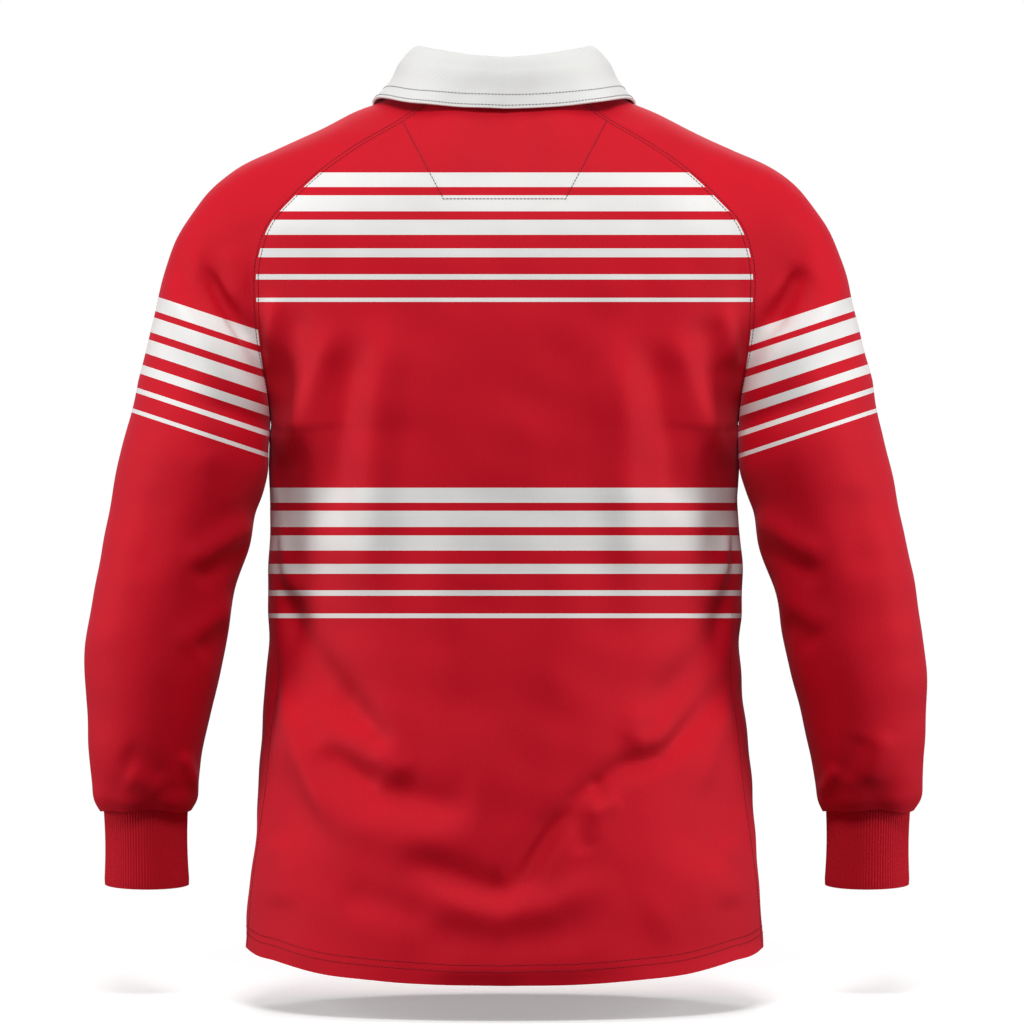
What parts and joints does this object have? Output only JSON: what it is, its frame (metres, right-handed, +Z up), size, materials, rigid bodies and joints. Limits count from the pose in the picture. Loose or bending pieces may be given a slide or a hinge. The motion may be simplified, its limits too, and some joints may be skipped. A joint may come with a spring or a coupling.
{
  "type": "rugby shirt",
  "caption": "Long-sleeved rugby shirt with raglan sleeves, folded collar, buttoned placket, ribbed cuffs and graded stripes, filled out with open neck, hem and cuffs.",
  "frame": {"origin": "middle of the neck opening, level with the tops of the shoulders", "axes": "+Z up towards the neck, the shirt's front faces -Y, +X is the wearer's left"},
  "size_m": [0.6898, 0.2541, 0.77],
  "materials": {
    "jersey": "matte cotton jersey",
    "rib_knit": "matte ribbed knit",
    "collar_cloth": "matte cotton twill",
    "button": "soft satin"
  },
  "bodies": {
    "root": {"back": "jersey", "front": "jersey", "sleeve_left": "jersey", "sleeve_right": "jersey", "cuff_left": "rib_knit", "cuff_right": "rib_knit", "collar_stand": "collar_cloth", "collar_leaf": "collar_cloth", "locker_patch": "jersey", "placket_over": "collar_cloth", "placket_under": "collar_cloth", "button_1": "button", "button_2": "button", "button_3": "button"}
  },
  "joints": []
}
